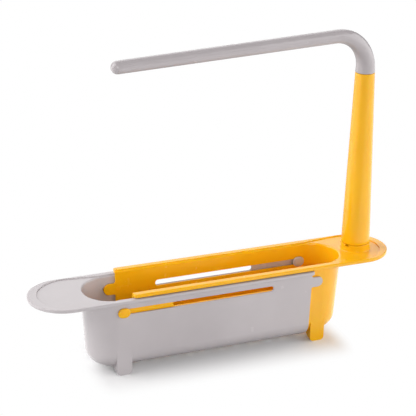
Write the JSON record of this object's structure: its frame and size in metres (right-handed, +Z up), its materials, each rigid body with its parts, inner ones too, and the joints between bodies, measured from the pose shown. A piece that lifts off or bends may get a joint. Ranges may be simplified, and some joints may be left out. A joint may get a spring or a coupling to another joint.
{
  "type": "sink caddy",
  "caption": "Telescoping plastic sink caddy: nesting half trays slide apart to span a sink, rest on a shelf at each end and carry a post with a swivelling towel rail.",
  "frame": {"origin": "on the floor under the middle of the closed caddy", "axes": "+X along the caddy towards the post's shelf, +Y to the rear, +Z up"},
  "size_m": [0.37, 0.07, 0.3131],
  "materials": {
    "grey_plastic": "satin moulded, warm light grey",
    "yellow_plastic": "satin moulded, warm yellow"
  },
  "bodies": {
    "outer": {"outer_tray": "grey_plastic", "outer_stud_front": "grey_plastic", "outer_stud_rear": "grey_plastic"},
    "inner": {"inner_tray": "yellow_plastic", "inner_stud_front": "yellow_plastic", "inner_stud_rear": "yellow_plastic"},
    "post": {"post": "yellow_plastic"},
    "rail": {"rail": "grey_plastic"}
  },
  "joints": [
    {"name": "tray_slide", "type": "slide", "parent": "outer", "child": "inner", "axis": [1, 0, 0], "range_m": [0, 0.15]},
    {"name": "post_twist", "type": "hinge", "parent": "inner", "child": "post", "pos_m": [0.1532, 0, 0.09], "axis": [0, 0, 1], "range_deg": [0, 40]},
    {"name": "rail_swivel", "type": "hinge", "parent": "post", "child": "rail", "pos_m": [0.1532, 0, 0.268], "axis": [0, 0, 1], "continuous": true}
  ]
}
